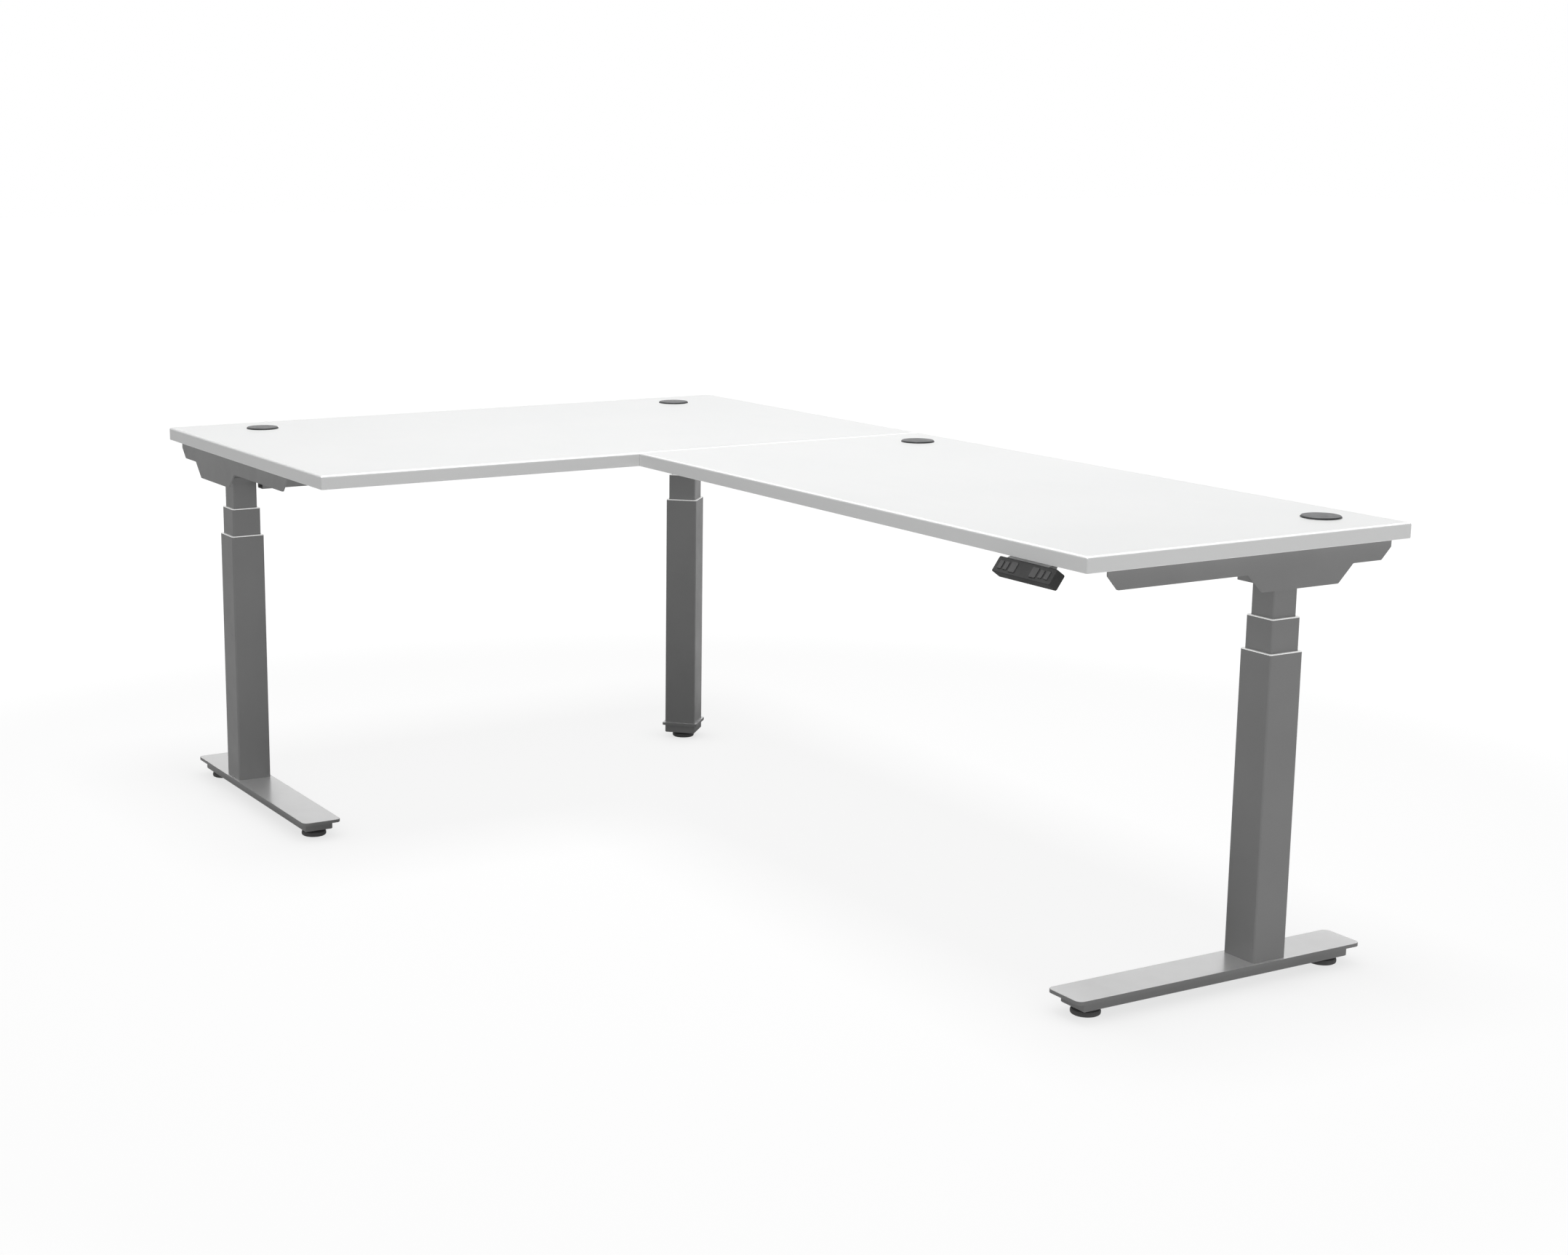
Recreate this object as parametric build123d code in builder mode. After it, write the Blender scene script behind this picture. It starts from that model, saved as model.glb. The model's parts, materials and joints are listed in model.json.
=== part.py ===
from build123d import *
import os
from math import sin, cos, radians, sqrt

# Height adjustable standing desk, L shaped, three telescoping columns.
# Frame: +Z up, floor at z = 0, origin under the middle of the bounding box.
# The return panel fills the -X side and holds the corner, the main panel runs to +X.
# The user stands in the inner corner, on the -Y side of the main panel. Millimetres.

# ---------------------------------------------------------------- driving sizes
LEN_X = 1981.2            # overall length, 78 in
LEN_Y = 1219.2            # overall depth, 48 in
RETURN_W = 762.0          # return panel width, 30 in
MAIN_D = 609.6            # main panel depth, 24 in
TOP_Z = 685.8             # working surface height at rest, 27 in
TOP_T = 24.0              # panel thickness
TOP_R = 3.7               # top edge rounding
BOT_R = 1.2               # bottom edge rounding
EDGE_R = 1.4              # upright corner rounding
SEAM = 0.6                # gap between the two panels

COL_INSET = 63.2          # column centre to the free end of its panel
RIGHT_Y = 407.4           # right column centre
LEFT_X = -778.1           # left column centre
CORNER_X, CORNER_Y = -761.5, 414.1

OUT_A, MID_A, INN_A = 63.0, 54.5, 46.0      # square tube outside sizes
WALL = 2.0
TUBE_R = 3.2
OUT_TOP, MID_TOP, INN_TOP = 504.5, 555.4, 640.0
MID_BOT, INN_BOT = 85.4, 142.0
RIM_T = 1.3               # visible thickness of a glide collar's rim
GLIDE = 30.0              # glide collar depth inside the tube
RUN = 0.3                 # sliding clearance per side

FOOT_W, FOOT_L, PLATE_T = 73.1, 549.0, 5.5
FOOT_OUT = 183.0          # column centre to the foot's outer end
FOOT_TOP, BEAM_BOT = 34.3, 12.8
BEAM_IN, BEAM_END = 10.0, 18.2
PAD_IN = 43.0             # leveller centre to the foot's end

BR_T = 3.0                # bracket sheet
BR_OFF = 12.0             # bracket face to the desktop's end
BR_FL = 60.0              # bracket flange width
UNDER = TOP_Z - TOP_T     # underside of the panels

HEAD_B = 607.0            # underside of a column head
RAIL_W, RAIL_B, RAIL_T, RAIL_WALL = 25.0, 596.0, 646.0, 1.6
RAIL_IN = 44.0            # rail's inner face to the column axis

GROM_D, GROM_HOLE = 61.0, 51.0
GROMMETS = [(-890.5, -457.0), (-890.5, 461.3), (-118.8, 528.2), (890.7, 528.2)]

HS_L, HS_H, HS_D = 128.0, 25.4, 16.9        # handset length, face height, depth
HS_X, HS_TY, HS_TZ = 864.4, 1.6, 658.5      # face's top edge
HS_TILT = 35.8                              # face's lean from upright

os.makedirs("parts", exist_ok=True)

XR = LEN_X / 2            # right end
XL = -LEN_X / 2
YB = LEN_Y / 2            # back
YF = -LEN_Y / 2
SEAM_X = XL + RETURN_W
FRONT_Y = YB - MAIN_D
RX, RY = XR - COL_INSET, RIGHT_Y
LX, LY = LEFT_X, YF + COL_INSET
S2 = sqrt(0.5)

# name: centre, inward direction
COLS = {
    "right": (RX, RY, Vector(-1, 0, 0)),
    "left": (LX, LY, Vector(0, 1, 0)),
    "corner": (CORNER_X, CORNER_Y, Vector(S2, -S2, 0)),
}


def keep(bp, name):
    bp.part.label = name
    export_step(bp.part, "parts/" + name + ".step")


def col_plane(key, z):
    cx, cy, d = COLS[key]
    return Plane(origin=(cx, cy, z), x_dir=d, z_dir=(0, 0, 1))


def world(key, a, b):
    """Point at a along the inward direction and b across it."""
    cx, cy, d = COLS[key]
    return (cx + a * d.X - b * d.Y, cy + a * d.Y + b * d.X)


# ---------------------------------------------------------------- screw places
def flange_pts(key):
    # inward distance from the plate, along the bracket
    pts = []
    for s in (-335.0, -235.0, -135.0, 95.0, 155.0):
        if key == "right":
            pts.append((RX + 48.2 - 44.0, RY + s))
        else:
            pts.append((LX - s, LY - 48.2 + 44.0))
    return pts


CORNER_PTS = [(-842.0, 470.0), (-842.0, 250.0), (-780.0, 236.0),
              (-600.0, 470.0), (-592.0, 400.0), (-575.0, 300.0)]
JOIN_Y = (50.0, 210.0, 410.0, 560.0)
JOIN_PTS = [(SEAM_X + dx, y) for y in JOIN_Y for dx in (-46.0, -16.0, 16.0, 46.0)]
BOX_X0, BOX_X1, BOX_Y0, BOX_Y1 = 240.0, 520.0, 200.0, 300.0
BOX_PTS = [(BOX_X0 - 8, BOX_Y0 + 20), (BOX_X0 - 8, BOX_Y1 - 20), (BOX_X1 + 8, BOX_Y0 + 20), (BOX_X1 + 8, BOX_Y1 - 20)]
HS_PTS = [(HS_X - 36.0, 30.0), (HS_X + 36.0, 30.0)]
SCREWS = flange_pts("right") + flange_pts("left") + CORNER_PTS + JOIN_PTS + BOX_PTS + HS_PTS


# ---------------------------------------------------------------- panels
def panel(x0, x1, y0, y1, holes):
    pilots = [p for p in SCREWS if x0 < p[0] < x1 and y0 < p[1] < y1]
    with BuildPart() as p:
        with BuildSketch(Plane.XY.offset(UNDER)):
            with Locations(((x0 + x1) / 2, (y0 + y1) / 2)):
                Rectangle(x1 - x0, y1 - y0)
        extrude(amount=TOP_T)
        fillet(p.edges().filter_by(Axis.Z), EDGE_R)
        fillet(p.faces().sort_by(Axis.Z)[-1].edges(), TOP_R)
        fillet(p.faces().sort_by(Axis.Z)[0].edges(), BOT_R)
        with BuildSketch(Plane.XY.offset(UNDER)):
            with Locations(*holes):
                Circle(GROM_HOLE / 2)
        extrude(amount=TOP_T, mode=Mode.SUBTRACT)
        with BuildSketch(Plane.XY.offset(UNDER)):
            with Locations(*pilots):
                Circle(2.2)
        extrude(amount=14.0, mode=Mode.SUBTRACT)
    return p


desktop_return = panel(XL, SEAM_X - SEAM / 2, YF, YB, GROMMETS[:2])
keep(desktop_return, "desktop_return")
desktop_main = panel(SEAM_X + SEAM / 2, XR, FRONT_Y, YB, GROMMETS[2:])
keep(desktop_main, "desktop_main")

with BuildPart() as joining_plates:
    with BuildSketch(Plane.XY.offset(UNDER)):
        with Locations(*[(SEAM_X, y) for y in JOIN_Y]):
            RectangleRounded(124.0, 42.0, 6.0)
        with Locations(*JOIN_PTS):
            Circle(2.4, mode=Mode.SUBTRACT)
    extrude(amount=-BR_T)
keep(joining_plates, "joining_plates")

with BuildPart() as frame_screws:
    with BuildSketch(Plane.XY.offset(UNDER - BR_T)):
        with Locations(*SCREWS):
            Circle(4.8)
    extrude(amount=-2.6)
    fillet(frame_screws.faces().group_by(Axis.Z)[0].edges(), 1.2)
    with BuildSketch(Plane.XY.offset(UNDER - BR_T - 2.6)):
        with Locations(*SCREWS):
            RegularPolygon(1.7, 6)
    extrude(amount=1.4, mode=Mode.SUBTRACT)
    with BuildSketch(Plane.XY.offset(UNDER - BR_T)):
        with Locations(*SCREWS):
            Circle(2.1)
    extrude(amount=16.0)
keep(frame_screws, "frame_screws")

# ---------------------------------------------------------------- grommets
with BuildPart() as grommet_sleeves:
    with BuildSketch(Plane.XY.offset(TOP_Z)):
        with Locations(*GROMMETS):
            Circle(GROM_D / 2)
            Circle(23.5, mode=Mode.SUBTRACT)
    extrude(amount=1.3)
    with BuildSketch(Plane.XY.offset(TOP_Z)):
        with Locations(*GROMMETS):
            Circle(GROM_HOLE / 2 - 0.2)
            Circle(23.5, mode=Mode.SUBTRACT)
    extrude(amount=-20.0)
    fillet(grommet_sleeves.faces().filter_by(Axis.Z).sort_by(Axis.Z)[-4:].edges().filter_by(
        lambda e: e.radius > 28), 0.6)
keep(grommet_sleeves, "grommet_sleeves")


def grommet_cap(pt):
    # low dome with its centre of curvature on the axis, and a skirt inside the sleeve
    rim, low, high = 28.9, 2.8, 3.9
    rad = (rim ** 2 + (high - low) ** 2) / (2 * (high - low))
    half = rim / 2
    mid_z = high - rad + sqrt(rad ** 2 - half ** 2)
    with BuildPart() as c:
        with BuildSketch(Plane(origin=(pt[0], pt[1], TOP_Z), x_dir=(1, 0, 0), z_dir=(0, -1, 0))):
            with BuildLine():
                Polyline((0, high), (0, 1.7), (21.4, 1.7), (21.4, -3.3), (23.1, -3.3), (23.1, 1.7),
                         (29.6, 1.7), (29.6, 2.2), (rim, low))
                ThreePointArc((rim, low), (half, mid_z), (0, high))
            make_face()
        revolve(axis=Axis((pt[0], pt[1], 0), (0, 0, 1)))
    return c


grommet_cap_return_front = grommet_cap(GROMMETS[0])
keep(grommet_cap_return_front, "grommet_cap_return_front")
grommet_cap_return_back = grommet_cap(GROMMETS[1])
keep(grommet_cap_return_back, "grommet_cap_return_back")
grommet_cap_main_left = grommet_cap(GROMMETS[2])
keep(grommet_cap_main_left, "grommet_cap_main_left")
grommet_cap_main_right = grommet_cap(GROMMETS[3])
keep(grommet_cap_main_right, "grommet_cap_main_right")

# ---------------------------------------------------------------- side brackets
BR_PTS = [(-359.6, UNDER), (-359.6, 652.5), (-341.0, 631.5), (-101.5, 631.5), (-73.5, 603.9),
          (73.5, 603.9), (101.5, 631.5), (157.5, 631.5), (176.0, 650.0), (176.0, UNDER)]


def side_bracket(key):
    # local x runs along the bracket, z_dir points out of the desk's end
    if key == "right":
        face = Plane(origin=(XR - BR_OFF, RY, 0), x_dir=(0, 1, 0), z_dir=(1, 0, 0))
        sgn = 1
        top = Plane(origin=(XR - BR_OFF, RY, UNDER), x_dir=(0, 1, 0), z_dir=(0, 0, 1))
    else:
        face = Plane(origin=(LX, YF + BR_OFF, 0), x_dir=(1, 0, 0), z_dir=(0, -1, 0))
        sgn = -1
        top = Plane(origin=(LX, YF + BR_OFF, UNDER), x_dir=(1, 0, 0), z_dir=(0, 0, 1))
    pts = [(sgn * s, z) for s, z in BR_PTS]
    with BuildPart() as b:
        with BuildSketch(face) as sk:
            with BuildLine():
                Polyline(*pts, close=True)
            make_face()
            fillet(sk.vertices().filter_by(lambda v: v.Z < 655), 3.2)
        extrude(amount=-BR_T)
        with BuildSketch(top):
            with Locations((sgn * (176.0 - 359.6) / 2, BR_FL / 2)):
                Rectangle(176.0 + 359.6, BR_FL)
        extrude(amount=-BR_T)
        outer = b.edges().filter_by(lambda e: abs(e.center().Z - UNDER) < 0.01 and e.length > 500)
        outer = outer.sort_by(Axis.X)[-1:] if key == "right" else outer.sort_by(Axis.Y)[:1]
        fillet(outer, 2.4)
        with BuildSketch(Plane.XY.offset(UNDER - BR_T)):
            with Locations(*flange_pts(key)):
                Circle(2.4)
        extrude(amount=BR_T, mode=Mode.SUBTRACT)
    return b


side_bracket_right = side_bracket("right")
keep(side_bracket_right, "side_bracket_right")
side_bracket_left = side_bracket("left")
keep(side_bracket_left, "side_bracket_left")

# ---------------------------------------------------------------- corner bracket
with BuildPart() as corner_bracket:
    with BuildSketch(Plane.XY.offset(UNDER)) as cb:
        with BuildLine():
            Polyline((-862, 492), (-862, 225), (-690, 225), (-548, 340), (-548, 492), close=True)
        make_face()
        fillet(cb.vertices(), 12)
        with Locations((-761.5, 414.1)):
            Circle(24.0, mode=Mode.SUBTRACT)
        with Locations(*CORNER_PTS):
            Circle(2.4, mode=Mode.SUBTRACT)
    extrude(amount=-BR_T)
    # lugs beside the rails
    with BuildSketch(Plane.XY.offset(UNDER - BR_T)):
        with Locations((LX + RAIL_IN + RAIL_W + 2.0, 258.0), (LX - RAIL_IN - RAIL_W - 2.0, 258.0)):
            Rectangle(4.0, 60.0)
        with Locations((-588.0, RY - RAIL_IN - RAIL_W - 2.0), (-588.0, RY + RAIL_IN + RAIL_W + 2.0)):
            Rectangle(60.0, 4.0)
    extrude(amount=-(UNDER - BR_T - RAIL_B))
keep(corner_bracket, "corner_bracket")


# ---------------------------------------------------------------- rails
def rail(x0, x1, y0, y1, along):
    with BuildPart() as r:
        if along == "x":
            pl = Plane(origin=(x0, (y0 + y1) / 2, (RAIL_B + RAIL_T) / 2), x_dir=(0, 1, 0), z_dir=(1, 0, 0))
            n = x1 - x0
        else:
            pl = Plane(origin=((x0 + x1) / 2, y0, (RAIL_B + RAIL_T) / 2), x_dir=(-1, 0, 0), z_dir=(0, 1, 0))
            n = y1 - y0
        with BuildSketch(pl):
            RectangleRounded(RAIL_W, RAIL_T - RAIL_B, 2.2)
            RectangleRounded(RAIL_W - 2 * RAIL_WALL, RAIL_T - RAIL_B - 2 * RAIL_WALL, 0.7, mode=Mode.SUBTRACT)
        extrude(amount=n)
    return r


RET_Y0, RET_Y1 = LY + 17.0, 288.0
MAIN_X0, MAIN_X1 = -618.0, RX - 107.0
rail_return_user = rail(LX + RAIL_IN, LX + RAIL_IN + RAIL_W, RET_Y0, RET_Y1, "y")
keep(rail_return_user, "rail_return_user")
rail_return_outer = rail(LX - RAIL_IN - RAIL_W, LX - RAIL_IN, RET_Y0, RET_Y1, "y")
keep(rail_return_outer, "rail_return_outer")
rail_main_user = rail(MAIN_X0, MAIN_X1, RY - RAIL_IN - RAIL_W, RY - RAIL_IN, "x")
keep(rail_main_user, "rail_main_user")
rail_main_back = rail(MAIN_X0, MAIN_X1, RY + RAIL_IN, RY + RAIL_IN + RAIL_W, "x")
keep(rail_main_back, "rail_main_back")


# ---------------------------------------------------------------- column heads
def column_head(key):
    with BuildPart() as h:
        with BuildSketch(col_plane(key, HEAD_B)):
            with Locations(((-48.2 + 33.0) / 2, 0)):
                RectangleRounded(81.2, 88.0, 2.5)
        extrude(amount=9.5)
        with BuildSketch(col_plane(key, HEAD_B + 9.5)):
            with Locations(((-48.2 + 31.5) / 2, 0)):
                Rectangle(79.7, 85.0)
        extrude(amount=UNDER - BR_T - HEAD_B - 9.5)
        with BuildSketch(col_plane(key, 612.0)):
            with Locations(((20.0 + 150.0) / 2, 0)):
                RectangleRounded(130.0, 88.0, 2.0)
        extrude(amount=UNDER - BR_T - 612.0)
        # room for the gear motor, open at the top
        with BuildSketch(col_plane(key, 615.0)):
            with Locations(((-45.7 + 147.5) / 2, 0)):
                Rectangle(193.2, 80.0)
        extrude(amount=60.0, mode=Mode.SUBTRACT)
        with BuildSketch(col_plane(key, HEAD_B)):
            RectangleRounded(INN_A, INN_A, TUBE_R)
        extrude(amount=20.0, mode=Mode.SUBTRACT)
    return h


head_right = column_head("right")
keep(head_right, "head_right")
head_left = column_head("left")
keep(head_left, "head_left")
head_corner = column_head("corner")
keep(head_corner, "head_corner")

with BuildPart() as gear_motors:
    for key in COLS:
        # gearbox on the inner tube's end
        with BuildSketch(col_plane(key, INN_TOP)):
            with Locations((1.0, 0)):
                RectangleRounded(62.0, 58.0, 5.0)
        extrude(amount=16.0)
    for key in COLS:
        with BuildSketch(col_plane(key, 617.0)):
            with Locations((31.0, 0)):
                RectangleRounded(12.0, 44.0, 2.0)
        extrude(amount=39.0)
    for key in COLS:
        wx, wy = world(key, 37.4, 0)
        ax = Plane(origin=(wx, wy, 636.4), x_dir=(0, 0, 1), z_dir=COLS[key][2])
        with BuildSketch(ax):
            Circle(19.2)
        extrude(amount=92.0)
        with BuildSketch(ax.offset(92.0)):
            Circle(10.0)
        extrude(amount=10.0)
    fillet(gear_motors.edges().filter_by(GeomType.CIRCLE).filter_by(lambda e: 19 < e.radius < 19.5), 1.5)
keep(gear_motors, "gear_motors")


# ---------------------------------------------------------------- columns
def tube(key, a, z0, z1):
    with BuildPart() as t:
        with BuildSketch(col_plane(key, z0)):
            RectangleRounded(a, a, TUBE_R)
            RectangleRounded(a - 2 * WALL, a - 2 * WALL, TUBE_R - WALL, mode=Mode.SUBTRACT)
        extrude(amount=z1 - z0)
    return t


def collar(key, a, inner, top):
    # rim on the tube's end, skirt inside the tube
    with BuildPart() as c:
        with BuildSketch(col_plane(key, top - RIM_T)):
            RectangleRounded(a, a, TUBE_R)
            RectangleRounded(inner + 2 * RUN, inner + 2 * RUN, TUBE_R + RUN, mode=Mode.SUBTRACT)
        extrude(amount=RIM_T)
        with BuildSketch(col_plane(key, top - RIM_T)):
            RectangleRounded(a - 2 * WALL - 0.1, a - 2 * WALL - 0.1, TUBE_R - WALL)
            RectangleRounded(inner + 2 * RUN, inner + 2 * RUN, TUBE_R + RUN - 0.2, mode=Mode.SUBTRACT)
        extrude(amount=-GLIDE)
        fillet(c.faces().sort_by(Axis.Z)[-1].outer_wire().edges(), 0.5)
    return c


def mid_guide(key):
    cx, cy, d = COLS[key]
    with BuildPart() as g:
        with BuildSketch(col_plane(key, MID_BOT)):
            RectangleRounded(MID_A - 2 * WALL - 0.1, MID_A - 2 * WALL - 0.1, 1.1)
            Circle(9.3, mode=Mode.SUBTRACT)
        extrude(amount=8.0)
        with BuildSketch(col_plane(key, MID_BOT + 8.0)):
            Circle(18.5)
            Circle(15.5, mode=Mode.SUBTRACT)
        extrude(amount=378.0)
        with BuildSketch(col_plane(key, MID_BOT + 386.0)):
            Circle(18.5)
            Circle(12.8, mode=Mode.SUBTRACT)
        extrude(amount=30.0)
    return g


def base_screw(key):
    with BuildPart() as s:
        with BuildSketch(col_plane(key, FOOT_TOP)):
            Circle(20.0)
        extrude(amount=5.0)
        with BuildSketch(col_plane(key, FOOT_TOP + 5.0)):
            Circle(9.0)
        extrude(amount=388.0)
        chamfer(s.faces().sort_by(Axis.Z)[-1].edges(), 1.5)
    return s


with BuildPart() as lift_screws:
    for key in COLS:
        with BuildSketch(col_plane(key, 150.0)):
            Circle(12.5)
            Circle(10.2, mode=Mode.SUBTRACT)
        extrude(amount=INN_TOP - 150.0)
keep(lift_screws, "lift_screws")

outer_tube_right = tube("right", OUT_A, FOOT_TOP, OUT_TOP - RIM_T)
keep(outer_tube_right, "outer_tube_right")
outer_tube_left = tube("left", OUT_A, FOOT_TOP, OUT_TOP - RIM_T)
keep(outer_tube_left, "outer_tube_left")
outer_tube_corner = tube("corner", OUT_A, FOOT_TOP, OUT_TOP - RIM_T)
keep(outer_tube_corner, "outer_tube_corner")
mid_tube_right = tube("right", MID_A, MID_BOT, MID_TOP - RIM_T)
keep(mid_tube_right, "mid_tube_right")
mid_tube_left = tube("left", MID_A, MID_BOT, MID_TOP - RIM_T)
keep(mid_tube_left, "mid_tube_left")
mid_tube_corner = tube("corner", MID_A, MID_BOT, MID_TOP - RIM_T)
keep(mid_tube_corner, "mid_tube_corner")
inner_tube_right = tube("right", INN_A, INN_BOT, INN_TOP)
keep(inner_tube_right, "inner_tube_right")
inner_tube_left = tube("left", INN_A, INN_BOT, INN_TOP)
keep(inner_tube_left, "inner_tube_left")
inner_tube_corner = tube("corner", INN_A, INN_BOT, INN_TOP)
keep(inner_tube_corner, "inner_tube_corner")

outer_collar_right = collar("right", OUT_A, MID_A, OUT_TOP)
keep(outer_collar_right, "outer_collar_right")
outer_collar_left = collar("left", OUT_A, MID_A, OUT_TOP)
keep(outer_collar_left, "outer_collar_left")
outer_collar_corner = collar("corner", OUT_A, MID_A, OUT_TOP)
keep(outer_collar_corner, "outer_collar_corner")
mid_collar_right = collar("right", MID_A, INN_A, MID_TOP)
keep(mid_collar_right, "mid_collar_right")
mid_collar_left = collar("left", MID_A, INN_A, MID_TOP)
keep(mid_collar_left, "mid_collar_left")
mid_collar_corner = collar("corner", MID_A, INN_A, MID_TOP)
keep(mid_collar_corner, "mid_collar_corner")

mid_guide_right = mid_guide("right")
keep(mid_guide_right, "mid_guide_right")
mid_guide_left = mid_guide("left")
keep(mid_guide_left, "mid_guide_left")
mid_guide_corner = mid_guide("corner")
keep(mid_guide_corner, "mid_guide_corner")
base_screw_right = base_screw("right")
keep(base_screw_right, "base_screw_right")
base_screw_left = base_screw("left")
keep(base_screw_left, "base_screw_left")
base_screw_corner = base_screw("corner")
keep(base_screw_corner, "base_screw_corner")


# ---------------------------------------------------------------- feet
def t_foot(key):
    # local x inward, so the foot runs along local y
    s = -1 if key == "right" else 1          # which local y is the outer end
    y_out = s * FOOT_OUT
    y_in = -s * (FOOT_L - FOOT_OUT)
    mid = (y_out + y_in) / 2
    pads = [(0, y_out - s * PAD_IN), (0, y_in + s * PAD_IN)]
    with BuildPart() as f:
        with BuildSketch(col_plane(key, BEAM_BOT)):
            with Locations((0, mid)):
                RectangleRounded(FOOT_W - 2 * BEAM_IN, FOOT_L - 2 * BEAM_END, 2.0)
        extrude(amount=FOOT_TOP - PLATE_T - BEAM_BOT)
        chamfer(f.faces().sort_by(Axis.Z)[0].edges(), 1.4)
        with BuildSketch(col_plane(key, BEAM_BOT)):
            with Locations((0, mid)):
                Rectangle(FOOT_W - 2 * BEAM_IN - 6.0, FOOT_L - 2 * BEAM_END - 6.0)
        extrude(amount=12.5, mode=Mode.SUBTRACT)
        with BuildSketch(col_plane(key, 16.0)):
            with Locations(*pads):
                Circle(11.0)
        extrude(amount=FOOT_TOP - PLATE_T - 16.0)
        with BuildSketch(col_plane(key, FOOT_TOP - PLATE_T)):
            with Locations((0, mid)):
                RectangleRounded(FOOT_W, FOOT_L, 10.5)
        extrude(amount=PLATE_T)
        fillet(f.faces().sort_by(Axis.Z)[-1].edges(), 0.8)
        with BuildSketch(col_plane(key, 10.0)):
            with Locations(*pads):
                Circle(4.3)
        extrude(amount=20.0, mode=Mode.SUBTRACT)
    return f, [world(key, *p) for p in pads]


foot_right, PADS_R = t_foot("right")
keep(foot_right, "foot_right")
foot_left, PADS_L = t_foot("left")
keep(foot_left, "foot_left")

with BuildPart() as foot_corner:
    with BuildSketch(col_plane("corner", BEAM_BOT)):
        RectangleRounded(OUT_A, OUT_A, TUBE_R)
    extrude(amount=FOOT_TOP - PLATE_T - BEAM_BOT)
    chamfer(foot_corner.faces().sort_by(Axis.Z)[0].edges(), 1.2)
    with BuildSketch(col_plane("corner", BEAM_BOT)):
        Rectangle(OUT_A - 7.0, OUT_A - 7.0)
    extrude(amount=12.5, mode=Mode.SUBTRACT)
    with BuildSketch(col_plane("corner", 16.0)):
        Circle(11.0)
    extrude(amount=FOOT_TOP - PLATE_T - 16.0)
    with BuildSketch(col_plane("corner", FOOT_TOP - PLATE_T)):
        RectangleRounded(OUT_A + 10.0, OUT_A + 10.0, 5.0)
    extrude(amount=PLATE_T)
    fillet(foot_corner.faces().sort_by(Axis.Z)[-1].edges(), 0.8)
    with BuildSketch(col_plane("corner", 10.0)):
        Circle(4.3)
    extrude(amount=20.0, mode=Mode.SUBTRACT)
keep(foot_corner, "foot_corner")


def leveller(pt):
    with BuildPart() as v:
        with BuildSketch(Plane(origin=(pt[0], pt[1], 0), x_dir=(1, 0, 0), z_dir=(0, -1, 0))):
            with BuildLine():
                Polyline((0, 0), (20.2, 0), (21.6, 0.9), (22.2, 2.4), (22.2, 5.2), (21.2, 7.6),
                         (18.0, 9.4), (12.0, 10.6), (7.5, 10.8), (7.5, 12.6), (4.0, 12.6), (4.0, 27.0),
                         (3.2, 27.8), (0, 27.8), close=True)
            make_face()
        revolve(axis=Axis((pt[0], pt[1], 0), (0, 0, 1)))
    return v


leveller_right_back = leveller(PADS_R[0])
keep(leveller_right_back, "leveller_right_back")
leveller_right_user = leveller(PADS_R[1])
keep(leveller_right_user, "leveller_right_user")
leveller_left_outer = leveller(PADS_L[0])
keep(leveller_left_outer, "leveller_left_outer")
leveller_left_user = leveller(PADS_L[1])
keep(leveller_left_user, "leveller_left_user")
leveller_corner = leveller((CORNER_X, CORNER_Y))
keep(leveller_corner, "leveller_corner")

# ---------------------------------------------------------------- control box
with BuildPart() as control_box_base:
    with BuildSketch(Plane.XY.offset(UNDER)):
        with Locations(((BOX_X0 + BOX_X1) / 2, (BOX_Y0 + BOX_Y1) / 2)):
            RectangleRounded(BOX_X1 - BOX_X0 + 34.0, BOX_Y1 - BOX_Y0, 6.0)
        with Locations(*BOX_PTS):
            Circle(2.4, mode=Mode.SUBTRACT)
    extrude(amount=-BR_T)
    with BuildSketch(Plane.XY.offset(UNDER - BR_T)):
        with Locations(((BOX_X0 + BOX_X1) / 2, (BOX_Y0 + BOX_Y1) / 2)):
            Rectangle(BOX_X1 - BOX_X0 - 8.0, BOX_Y1 - BOX_Y0 - 8.0)
            Rectangle(BOX_X1 - BOX_X0 - 12.0, BOX_Y1 - BOX_Y0 - 12.0, mode=Mode.SUBTRACT)
    extrude(amount=-8.0)
keep(control_box_base, "control_box_base")

with BuildPart() as control_box_cover:
    with BuildSketch(Plane.XY.offset(UNDER - BR_T)):
        with Locations(((BOX_X0 + BOX_X1) / 2, (BOX_Y0 + BOX_Y1) / 2)):
            RectangleRounded(BOX_X1 - BOX_X0, BOX_Y1 - BOX_Y0, 5.0)
    extrude(amount=-39.0)
    fillet(control_box_cover.faces().sort_by(Axis.Z)[0].edges(), 3.0)
    with BuildSketch(Plane.XY.offset(UNDER - BR_T)):
        with Locations(((BOX_X0 + BOX_X1) / 2, (BOX_Y0 + BOX_Y1) / 2)):
            Rectangle(BOX_X1 - BOX_X0 - 7.0, BOX_Y1 - BOX_Y0 - 7.0)
    extrude(amount=-35.5, mode=Mode.SUBTRACT)
    # shallow sockets on the back wall: three motors, the handset, the mains lead
    back = Plane(origin=((BOX_X0 + BOX_X1) / 2, BOX_Y1, 638.0), x_dir=(-1, 0, 0), z_dir=(0, 1, 0))
    with BuildSketch(back):
        with Locations((-100, 0), (-62, 0), (-24, 0)):
            RectangleRounded(22.0, 13.0, 1.5)
        with Locations((16, 0)):
            RectangleRounded(13.0, 11.0, 1.0)
        with Locations((92, 0)):
            RectangleRounded(27.0, 19.0, 4.0)
    extrude(amount=-2.2, mode=Mode.SUBTRACT)
keep(control_box_cover, "control_box_cover")

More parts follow.
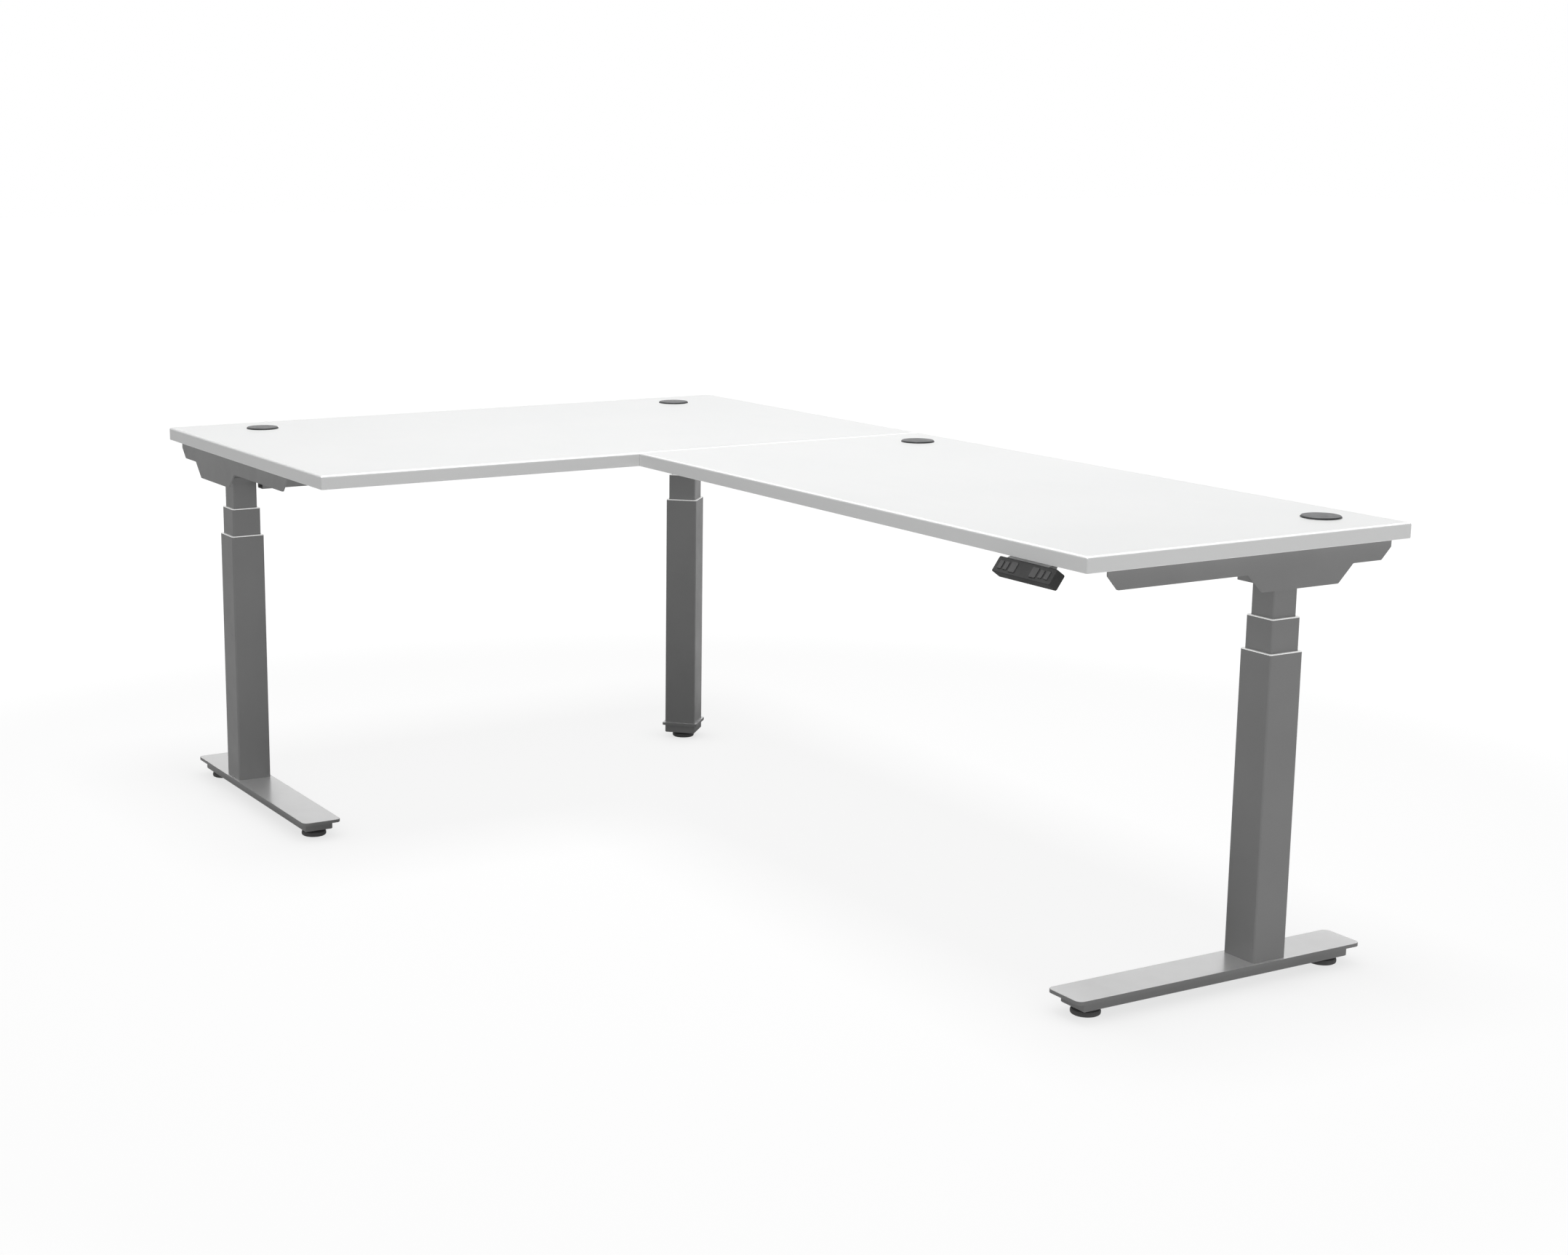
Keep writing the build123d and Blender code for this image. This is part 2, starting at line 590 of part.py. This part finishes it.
# ---------------------------------------------------------------- handset
HN = Vector(0, -cos(radians(HS_TILT)), sin(radians(HS_TILT)))      # out of the face
HU = Vector(0, sin(radians(HS_TILT)), cos(radians(HS_TILT)))       # up the face
HS_C = Vector(HS_X, HS_TY, HS_TZ) - HU * (HS_H / 2)
HS_PLANE = Plane(origin=HS_C, x_dir=(1, 0, 0), z_dir=HN)
# x centre, width, height
BUTTONS = [("button_preset_a", -51.4, 9.0, 13.4), ("button_preset_b", -39.0, 9.0, 13.4),
           ("button_down", -23.6, 14.2, 16.6), ("button_up", 22.6, 14.2, 16.6),
           ("button_preset_c", 38.2, 9.0, 13.4), ("button_preset_d", 50.8, 9.0, 13.4)]
with BuildPart() as handset_body:
    with BuildSketch(HS_PLANE.offset(-HS_D)):
        RectangleRounded(HS_L, HS_H, 2.8)
    extrude(amount=HS_D)
    fillet(handset_body.faces().sort_by(Axis(tuple(HS_C), tuple(HN)))[-1].edges(), 1.1)
    fillet(handset_body.faces().sort_by(Axis(tuple(HS_C), tuple(HN)))[0].edges(), 0.9)
    for nm, bx, bw, bh in BUTTONS:
        with BuildSketch(HS_PLANE.offset(-5.0)):
            with Locations((bx, 0)):
                RectangleRounded(bw, bh, 1.6)
        extrude(amount=6.0, mode=Mode.SUBTRACT)
keep(handset_body, "handset_body")


def button(bx, bw, bh):
    with BuildPart() as b:
        with BuildSketch(HS_PLANE.offset(-3.6)):
            with Locations((bx, 0)):
                RectangleRounded(bw - 0.6, bh - 0.6, 1.4)
        extrude(amount=4.7)
        fillet(b.faces().sort_by(Axis(tuple(HS_C), tuple(HN)))[-1].edges(), 0.45)
    return b


button_preset_a = button(*BUTTONS[0][1:])
keep(button_preset_a, "button_preset_a")
button_preset_b = button(*BUTTONS[1][1:])
keep(button_preset_b, "button_preset_b")
button_down = button(*BUTTONS[2][1:])
keep(button_down, "button_down")
button_up = button(*BUTTONS[3][1:])
keep(button_up, "button_up")
button_preset_c = button(*BUTTONS[4][1:])
keep(button_preset_c, "button_preset_c")
button_preset_d = button(*BUTTONS[5][1:])
keep(button_preset_d, "button_preset_d")

HT = Vector(0, HS_TY, HS_TZ)
HBK = HT - HN * HS_D                                                # top back corner
with BuildPart() as handset_bracket:
    g = HU * 0.05
    a, b2 = HT - HN * 1.5 + g, HBK + HN * 0.8 + g
    with BuildSketch(Plane(origin=(HS_X - 49.5, 0, 0), x_dir=(0, 1, 0), z_dir=(1, 0, 0))):
        with BuildLine():
            Polyline((a.Y, a.Z), (a.Y + 11.0, UNDER), (42.0, UNDER), (42.0, UNDER - BR_T),
                     (b2.Y + 5.0, UNDER - BR_T), (b2.Y, b2.Z), close=True)
        make_face()
    extrude(amount=92.0)
    with BuildSketch(Plane.XY.offset(UNDER - BR_T)):
        with Locations(*HS_PTS):
            Circle(2.4)
    extrude(amount=BR_T, mode=Mode.SUBTRACT)
keep(handset_bracket, "handset_bracket")
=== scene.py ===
import json
import math

import bmesh
import bpy
from mathutils import Matrix, Vector


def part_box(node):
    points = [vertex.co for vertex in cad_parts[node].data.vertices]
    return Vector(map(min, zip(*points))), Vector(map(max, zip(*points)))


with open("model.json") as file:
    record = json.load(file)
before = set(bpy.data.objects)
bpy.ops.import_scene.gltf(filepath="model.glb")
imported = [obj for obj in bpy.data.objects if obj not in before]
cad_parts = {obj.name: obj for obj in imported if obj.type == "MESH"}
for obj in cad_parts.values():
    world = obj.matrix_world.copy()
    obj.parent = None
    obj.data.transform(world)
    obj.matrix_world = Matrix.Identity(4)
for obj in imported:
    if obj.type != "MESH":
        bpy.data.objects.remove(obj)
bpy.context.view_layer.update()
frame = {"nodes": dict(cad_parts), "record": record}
NODES = frame["nodes"]
scene = bpy.context.scene
scene.view_settings.view_transform = "Standard"
scene.view_settings.look = "None"
scene.view_settings.exposure = 0.0
scene.view_settings.gamma = 1.0

TOP_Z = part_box("desktop_main")[1].z

# ------------------------------------------------------------------ camera
AZ, EL, ROLL = math.radians(61.344), math.radians(11.599), math.radians(-0.019)
back = Vector((math.sin(AZ) * math.cos(EL), -math.cos(AZ) * math.cos(EL), math.sin(EL)))
right = Vector((math.cos(AZ), math.sin(AZ), 0.0))
up = back.cross(right)
rot = Matrix((right, up, back)).transposed() @ Matrix.Rotation(ROLL, 3, "Z")
cam_data = bpy.data.cameras.new("camera")
cam_data.sensor_fit = "HORIZONTAL"
cam_data.sensor_width = 36.0
cam_data.lens = 56.087
cam_data.shift_x = 0.1232
cam_data.shift_y = -0.0009
cam_data.clip_start, cam_data.clip_end = 0.05, 100.0
cam = bpy.data.objects.new("camera", cam_data)
cam.matrix_world = Matrix.Translation(Vector((3.5232, -2.1489, TOP_Z + 0.5725))) @ rot.to_4x4()
scene.collection.objects.link(cam)
scene.camera = cam


# ------------------------------------------------------------------ material helpers
class Mat:
    """A node material with a few short helpers."""

    def __init__(self, name):
        self.m = bpy.data.materials.new(name)
        self.m.use_nodes = True
        self.nt = self.m.node_tree
        self.nt.nodes.clear()
        self.out = self.nt.nodes.new("ShaderNodeOutputMaterial")
        self.b = self.nt.nodes.new("ShaderNodeBsdfPrincipled")
        self.nt.links.new(self.b.outputs["BSDF"], self.out.inputs["Surface"])
        self.co = self.nt.nodes.new("ShaderNodeTexCoord").outputs["Object"]
        self.normal = None

    def link(self, a, b):
        self.nt.links.new(a, b)

    def put(self, sock, v):
        if hasattr(v, "is_linked"):
            self.link(v, sock)
        else:
            sock.default_value = v

    def noise(self, scale, detail=2.0, rough=0.5, stretch=None, distortion=0.0):
        n = self.nt.nodes.new("ShaderNodeTexNoise")
        n.inputs["Scale"].default_value = scale
        n.inputs["Detail"].default_value = detail
        n.inputs["Roughness"].default_value = rough
        n.inputs["Distortion"].default_value = distortion
        src = self.co
        if stretch:
            mp = self.nt.nodes.new("ShaderNodeMapping")
            mp.inputs["Scale"].default_value = stretch
            self.link(self.co, mp.inputs["Vector"])
            src = mp.outputs["Vector"]
        self.link(src, n.inputs["Vector"])
        return n.outputs["Fac"]

    def voronoi(self, scale, feature="F1"):
        n = self.nt.nodes.new("ShaderNodeTexVoronoi")
        n.feature = feature
        n.inputs["Scale"].default_value = scale
        self.link(self.co, n.inputs["Vector"])
        return n.outputs["Distance"]

    def math(self, op, a, b=0.0, c=0.0, clamp=False):
        n = self.nt.nodes.new("ShaderNodeMath")
        n.operation = op
        n.use_clamp = clamp
        for s, v in zip(n.inputs, (a, b, c)):
            self.put(s, v)
        return n.outputs[0]

    def remap(self, v, lo, hi, a, b, smooth=False):
        n = self.nt.nodes.new("ShaderNodeMapRange")
        if smooth:
            n.interpolation_type = "SMOOTHSTEP"
        for s, x in zip(n.inputs[:5], (v, lo, hi, a, b)):
            self.put(s, x)
        return n.outputs[0]

    def mix(self, fac, a, b, mode="MIX"):
        n = self.nt.nodes.new("ShaderNodeMix")
        n.data_type = "RGBA"
        n.blend_type = mode
        self.put(n.inputs[0], fac)
        self.put(n.inputs[6], a if hasattr(a, "is_linked") else (*a, 1.0))
        self.put(n.inputs[7], b if hasattr(b, "is_linked") else (*b, 1.0))
        return n.outputs[2]

    def grey(self, v):
        n = self.nt.nodes.new("ShaderNodeCombineColor")
        for s in n.inputs:
            self.put(s, v)
        return n.outputs[0]

    def xyz(self):
        n = self.nt.nodes.new("ShaderNodeSeparateXYZ")
        self.link(self.co, n.inputs[0])
        return n.outputs

    def bump(self, height, strength, distance):
        n = self.nt.nodes.new("ShaderNodeBump")
        n.inputs["Strength"].default_value = strength
        n.inputs["Distance"].default_value = distance
        self.link(height, n.inputs["Height"])
        if self.normal is not None:
            self.link(self.normal, n.inputs["Normal"])
        self.normal = n.outputs["Normal"]
        self.link(self.normal, self.b.inputs["Normal"])

    def edge(self, radius, lo=0.02, hi=0.35):
        """1 near a sharp edge, 0 on the flats."""
        bv = self.nt.nodes.new("ShaderNodeBevel")
        bv.samples = 4
        bv.inputs["Radius"].default_value = radius
        ge = self.nt.nodes.new("ShaderNodeNewGeometry")
        d = self.nt.nodes.new("ShaderNodeVectorMath")
        d.operation = "DOT_PRODUCT"
        self.link(bv.outputs[0], d.inputs[0])
        self.link(ge.outputs["Normal"], d.inputs[1])
        return self.remap(self.math("SUBTRACT", 1.0, d.outputs["Value"]), lo, hi, 0.0, 1.0)

    def set(self, **kw):
        for k, v in kw.items():
            self.b.inputs[k.replace("_", " ")].default_value = v

    def color(self, c):
        self.put(self.b.inputs["Base Color"], c)

    def rough(self, v):
        self.put(self.b.inputs["Roughness"], v)


def lin(v):
    return v / 12.92 if v <= 0.04045 else ((v + 0.055) / 1.055) ** 2.4


def srgb(r, g=None, b=None):
    g, b = (r if g is None else g), (r if b is None else b)
    return tuple(lin(x / 255.0) for x in (r, g, b))


# ------------------------------------------------------------------ materials
def laminate(name, node):
    """White melamine face with a matching rounded edge band, its glue line a shade darker."""
    lo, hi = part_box(node)
    m = Mat(name)
    x, y, z = m.xyz()
    dx = m.math("MINIMUM", m.math("SUBTRACT", x, lo.x), m.math("SUBTRACT", hi.x, x))
    dy = m.math("MINIMUM", m.math("SUBTRACT", y, lo.y), m.math("SUBTRACT", hi.y, y))
    d = m.math("MINIMUM", dx, dy)
    fleck = m.noise(620.0, 3.0, 0.6)
    cloud = m.noise(3.2, 3.0, 0.55)
    base = m.mix(m.remap(cloud, 0.3, 0.7, 0.0, 1.0), (0.885, 0.893, 0.890), (0.905, 0.909, 0.905))
    base = m.mix(m.remap(fleck, 0.58, 0.74, 0.0, 0.35), base, (0.80, 0.80, 0.79))
    # glue line where the edge band meets the face
    near = m.math("ABSOLUTE", m.math("SUBTRACT", d, 0.0040))
    line = m.remap(near, 0.00008, 0.00022, 1.0, 0.0)
    flat = m.remap(m.math("ABSOLUTE", m.math("SUBTRACT", z, (lo.z + hi.z) / 2)), 0.0110, 0.0116, 0.0, 1.0)
    base = m.mix(m.math("MULTIPLY", m.math("MULTIPLY", line, flat), 0.30), base, (0.55, 0.54, 0.52))
    m.color(base)
    # faint wiping marks, a little smoother along the worked edge
    smear = m.noise(5.0, 4.0, 0.6, stretch=(1.0, 3.0, 1.0), distortion=0.8)
    m.rough(m.remap(smear, 0.3, 0.75, 0.34, 0.46))
    m.set(Metallic=0.0, IOR=1.5, Specular_IOR_Level=0.36, Coat_Roughness=0.16, Coat_IOR=2.4)
    ge = m.nt.nodes.new("ShaderNodeNewGeometry")
    sp = m.nt.nodes.new("ShaderNodeSeparateXYZ")
    m.link(ge.outputs["Normal"], sp.inputs[0])
    rim = m.math("MULTIPLY", m.remap(sp.outputs[2], 0.06, 0.25, 0.0, 1.0), m.remap(sp.outputs[2], 0.985, 0.999, 1.0, 0.0))
    m.link(rim, m.b.inputs["Coat Weight"])
    m.bump(m.noise(2600.0, 2.0, 0.6), 0.10, 0.00008)
    m.bump(m.noise(420.0, 2.0, 0.5), 0.05, 0.00012)
    return m.m


def powder(name, c, metallic=0.25, rough=(0.34, 0.48), wear=0.25, painted_top_light=0.0, spec=0.5):
    """Powder coated steel: orange peel, a finer grain on top, edges rubbed a little lighter.
    painted_top_light: strength of a painted highlight that lightens the faces that look up towards pale grey,
    standing in for light from above; those faces also get a polished coat."""
    m = Mat(name)
    cloud = m.noise(7.0, 3.0, 0.55)
    grain = m.noise(1500.0, 2.0, 0.6)
    base = m.mix(m.remap(cloud, 0.3, 0.7, 0.0, 1.0), tuple(v * 0.95 for v in c), tuple(v * 1.05 for v in c))
    base = m.mix(m.remap(grain, 0.35, 0.7, 0.0, 0.30), base, tuple(min(1.0, v * 1.22) for v in c))
    e = m.edge(0.0011)
    rub = m.math("MULTIPLY", e, m.remap(m.noise(90.0, 3.0, 0.65), 0.42, 0.66, 0.0, wear), clamp=True)
    base = m.mix(rub, base, tuple(min(1.0, v * 1.9 + 0.05) for v in c))
    if painted_top_light:
        ge = m.nt.nodes.new("ShaderNodeNewGeometry")
        sp = m.nt.nodes.new("ShaderNodeSeparateXYZ")
        m.link(ge.outputs["Normal"], sp.inputs[0])
        up_face = m.remap(sp.outputs[2], 0.80, 0.97, 0.0, 1.0, smooth=True)
        patch = m.remap(m.noise(9.0, 4.0, 0.6), 0.3, 0.7, 0.88, 1.0)
        # painted highlight: faces that look up are lightened towards near white as if lit from above
        base = m.mix(m.math("MULTIPLY", m.math("MULTIPLY", up_face, patch), painted_top_light), base, (0.90, 0.90, 0.90))
        m.link(up_face, m.b.inputs["Coat Weight"])
        m.set(Coat_Roughness=0.22, Coat_IOR=2.7)
    m.color(base)
    m.rough(m.remap(m.noise(24.0, 4.0, 0.6), 0.3, 0.7, rough[0], rough[1]))
    m.set(Metallic=metallic, IOR=1.5, Specular_IOR_Level=spec)
    m.bump(m.noise(700.0, 2.0, 0.5), 0.16, 0.00014)
    m.bump(m.noise(2400.0, 2.0, 0.6), 0.12, 0.00006)
    return m.m


def moulded(name, c, rough=(0.42, 0.56), grain=1900.0, depth=0.00006, spec=0.45, wear=0.15, coat=0.0, painted_glow=0.0):
    """Injection moulded plastic with a spark-eroded grain. painted_glow: emission strength that makes the part glow
    though it is no lamp, painted light standing in for light passing through milky plastic.
    """
    m = Mat(name)
    cloud = m.noise(18.0, 3.0, 0.5)
    base = m.mix(m.remap(cloud, 0.3, 0.7, 0.0, 1.0), tuple(v * 0.95 for v in c), tuple(min(1.0, v * 1.05) for v in c))
    e = m.edge(0.0006)
    base = m.mix(m.math("MULTIPLY", e, wear), base, tuple(min(1.0, v * 1.6 + 0.02) for v in c))
    m.color(base)
    m.rough(m.remap(m.noise(60.0, 3.0, 0.6), 0.3, 0.7, rough[0], rough[1]))
    m.set(Metallic=0.0, IOR=1.46, Specular_IOR_Level=spec, Coat_Weight=coat, Coat_Roughness=0.2)
    # painted glow: emission brightens the part as painted light
    if painted_glow:
        m.b.inputs["Emission Color"].default_value = (1.0, 1.0, 0.99, 1.0)
        m.set(Emission_Strength=painted_glow)
    m.bump(m.voronoi(grain), 0.30, depth)
    m.bump(m.noise(grain * 0.33, 2.0, 0.5), 0.12, depth)
    return m.m


def rubber(name, c, rough=(0.62, 0.78)):
    m = Mat(name)
    dust = m.noise(40.0, 4.0, 0.65)
    base = m.mix(m.remap(dust, 0.45, 0.75, 0.0, 0.35), c, tuple(min(1.0, v * 1.5 + 0.01) for v in c))
    m.color(base)
    m.rough(m.remap(dust, 0.3, 0.7, rough[0], rough[1]))
    m.set(Metallic=0.0, IOR=1.5, Specular_IOR_Level=0.35)
    m.bump(m.noise(1600.0, 3.0, 0.6), 0.25, 0.00008)
    return m.m


def steel(name, c, rough=(0.24, 0.40), stretch=(1.0, 1.0, 0.05), scale=900.0, thread=None):
    """Bare or plated steel: drawn or brushed marks, or a rolled thread of that pitch along Z."""
    m = Mat(name)
    marks = m.noise(scale, 3.0, 0.6, stretch=stretch)
    base = m.mix(m.remap(marks, 0.3, 0.7, 0.0, 1.0), tuple(v * 0.86 for v in c), tuple(min(1.0, v * 1.1) for v in c))
    base = m.mix(m.remap(m.noise(30.0, 4.0, 0.6), 0.55, 0.8, 0.0, 0.4), base, tuple(v * 0.6 for v in c))
    m.color(base)
    m.rough(m.remap(marks, 0.3, 0.7, rough[0], rough[1]))
    m.set(Metallic=1.0)
    if thread:
        x, y, z = m.xyz()
        w = m.math("SINE", m.math("MULTIPLY", z, 2 * math.pi / thread))
        m.bump(w, 0.8, thread * 0.2)
    m.bump(marks, 0.10, 0.00005)
    return m.m


PAINT = srgb(140, 140, 140)
mats = {
    "frame_paint": powder("powder_coat_grey", PAINT, metallic=0.05, painted_top_light=0.97, spec=0.30),
    "glide_plastic": moulded("glide_nylon_white", (0.93, 0.93, 0.92), rough=(0.30, 0.42), depth=0.00003, wear=0.0, coat=1.0, painted_glow=0.34),
    "key_rubber": rubber("key_soft_touch", srgb(80)),
    "handset_plastic": moulded("handset_moulded", srgb(58), rough=(0.5, 0.64), grain=2300.0, spec=0.20),
    "grommet_plastic": moulded("grommet_moulded", srgb(70, 71, 72), rough=(0.40, 0.54), spec=0.24),
    "foot_rubber": rubber("leveller_rubber", srgb(92)),
    "zinc_steel": steel("zinc_plate", (0.58, 0.59, 0.60), stretch=(1, 1, 1), scale=500.0),
    "screw_steel": steel("rolled_screw_steel", (0.46, 0.45, 0.44), thread=0.004),
    "guide_steel": steel("drawn_tube_steel", (0.42, 0.42, 0.42)),
    "motor_metal": powder("motor_enamel", srgb(46), metallic=0.1, rough=(0.3, 0.42), wear=0.3),
    "box_plastic": moulded("control_box_moulded", srgb(52), rough=(0.45, 0.6)),
}
for sub in frame["record"]["subparts"]:
    node, slot_name = sub["node"], sub["material_slot"]
    o = NODES[node]
    mat = laminate("laminate_" + node, node) if slot_name == "laminate" else mats[slot_name]
    o.data.materials.clear()
    o.data.materials.append(mat)
    for p in o.data.polygons:
        p.material_index = 0


# ------------------------------------------------------------------ floor, light
def plane(name, size, z):
    me = bpy.data.meshes.new(name)
    s = size / 2
    me.from_pydata([(-s, -s, z), (s, -s, z), (s, s, z), (-s, s, z)], [], [(0, 1, 2, 3)])
    o = bpy.data.objects.new(name, me)
    scene.collection.objects.link(o)
    return o


floor = plane("floor", 60.0, 0.0)
fm = Mat("studio_floor")
nt = fm.nt
nt.nodes.remove(fm.b)
fx, fy, fz = fm.xyz()
dist = fm.math("SQRT", fm.math("ADD", fm.math("MULTIPLY", fx, fx), fm.math("MULTIPLY", fy, fy)))
away = fm.remap(dist, 1.6, 2.6, 0.0, 1.0, smooth=True)
# painted contact shadow: the floor's emission is darkened by ambient occlusion next to the feet and other close parts
ao = nt.nodes.new("ShaderNodeAmbientOcclusion")
ao.samples = 12
ao.inputs["Distance"].default_value = 0.09
painted_contact_shadow = fm.remap(ao.outputs["AO"], 0.25, 0.95, 0.84, 1.0)
level = fm.math("MULTIPLY", fm.remap(away, 0.0, 1.0, 0.883, 1.02), painted_contact_shadow)
emi = nt.nodes.new("ShaderNodeEmission")
emi.inputs["Color"].default_value = (1, 1, 1, 1)
fm.put(emi.inputs["Strength"], level)
dif = nt.nodes.new("ShaderNodeBsdfDiffuse")
dif.inputs["Color"].default_value = (0.155, 0.155, 0.155, 1)
add = nt.nodes.new("ShaderNodeAddShader")
fm.link(dif.outputs[0], add.inputs[0])
fm.link(emi.outputs[0], add.inputs[1])
bounce = nt.nodes.new("ShaderNodeEmission")
bounce.inputs["Color"].default_value = (1, 1, 1, 1)


def strip(v, lo, hi, soft=0.12):
    """1 between lo and hi, falling off over soft on both sides."""
    return fm.math("MULTIPLY", fm.remap(v, lo - soft, lo + soft, 0.0, 1.0, smooth=True),
                   fm.remap(v, hi - soft, hi + soft, 1.0, 0.0, smooth=True))


# the floor under the desk throws back less light than the open floor
lo_m, hi_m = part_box("desktop_main")
lo_r, hi_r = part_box("desktop_return")
shade = fm.math("MAXIMUM",
                fm.math("MULTIPLY", strip(fx, lo_m.x, hi_m.x), strip(fy, lo_m.y, hi_m.y)),
                fm.math("MULTIPLY", strip(fx, lo_r.x, hi_r.x), strip(fy, lo_r.y, hi_r.y)))
slant = fm.remap(fm.math("ADD", fx, fy), -2.4, 2.4, 0.62, 0.90)
fm.put(bounce.inputs["Strength"], fm.math("MULTIPLY", slant, fm.remap(shade, 0.0, 1.0, 1.0, 0.30)))
flp = nt.nodes.new("ShaderNodeLightPath")
fmix = nt.nodes.new("ShaderNodeMixShader")
fm.link(flp.outputs["Is Camera Ray"], fmix.inputs[0])
fm.link(bounce.outputs[0], fmix.inputs[1])
fm.link(add.outputs[0], fmix.inputs[2])
fm.link(fmix.outputs[0], fm.out.inputs["Surface"])
floor.data.materials.append(fm.m)

world = bpy.data.worlds.new("studio")
scene.world = world
world.use_nodes = True
wn = world.node_tree
wn.nodes.clear()
wo = wn.nodes.new("ShaderNodeOutputWorld")
lp = wn.nodes.new("ShaderNodeLightPath")
mx = wn.nodes.new("ShaderNodeMixShader")
amb = wn.nodes.new("ShaderNodeBackground")
amb.inputs["Color"].default_value = (1, 1, 1, 1)
amb.inputs["Strength"].default_value = 0.16
vis = wn.nodes.new("ShaderNodeBackground")
vis.inputs["Color"].default_value = (1, 1, 1, 1)
vis.inputs["Strength"].default_value = 1.0
# a brighter ceiling band, which only reflections see
sky = wn.nodes.new("ShaderNodeTexCoord")
sky_z = wn.nodes.new("ShaderNodeSeparateXYZ")
wn.links.new(sky.outputs["Generated"], sky_z.inputs[0])
band = wn.nodes.new("ShaderNodeMapRange")
band.interpolation_type = "SMOOTHSTEP"
for sock, v in zip(list(band.inputs)[1:5], (0.40, 0.56, 1.0, 3.0)):
    sock.default_value = v
wn.links.new(sky_z.outputs[2], band.inputs[0])
pick = wn.nodes.new("ShaderNodeMix")
pick.data_type = "FLOAT"
wn.links.new(lp.outputs["Is Camera Ray"], pick.inputs[0])
wn.links.new(band.outputs[0], pick.inputs[2])
pick.inputs[3].default_value = 1.0
wn.links.new(pick.outputs[0], vis.inputs["Strength"])
seen = wn.nodes.new("ShaderNodeMath")
seen.operation = "MAXIMUM"
wn.links.new(lp.outputs["Is Camera Ray"], seen.inputs[0])
wn.links.new(lp.outputs["Is Glossy Ray"], seen.inputs[1])
wn.links.new(seen.outputs[0], mx.inputs[0])
wn.links.new(amb.outputs[0], mx.inputs[1])
wn.links.new(vis.outputs[0], mx.inputs[2])
wn.links.new(mx.outputs[0], wo.inputs["Surface"])


def area(name, loc, target, size, power, spread=180.0):
    d = bpy.data.lights.new(name, "AREA")
    d.shape = "RECTANGLE"
    d.size, d.size_y = size
    d.energy = power
    d.spread = math.radians(spread)
    o = bpy.data.objects.new(name, d)
    o.location = loc
    o.rotation_mode = "QUATERNION"
    o.rotation_quaternion = (Vector(target) - Vector(loc)).to_track_quat("-Z", "Y")
    scene.collection.objects.link(o)
    return o


area("overhead", (0.0, 0.1, 5.0), (0.0, 0.1, 0.0), (1.9, 1.7), 124.0)
area("side_fill", (6.0, 0.6, 1.6), (0.0, 0.2, 0.4), (3.0, 2.4), 22.0)
area("front_fill", (1.0, -5.5, 1.4), (0.2, 0.0, 0.5), (3.0, 2.0), 14.0)
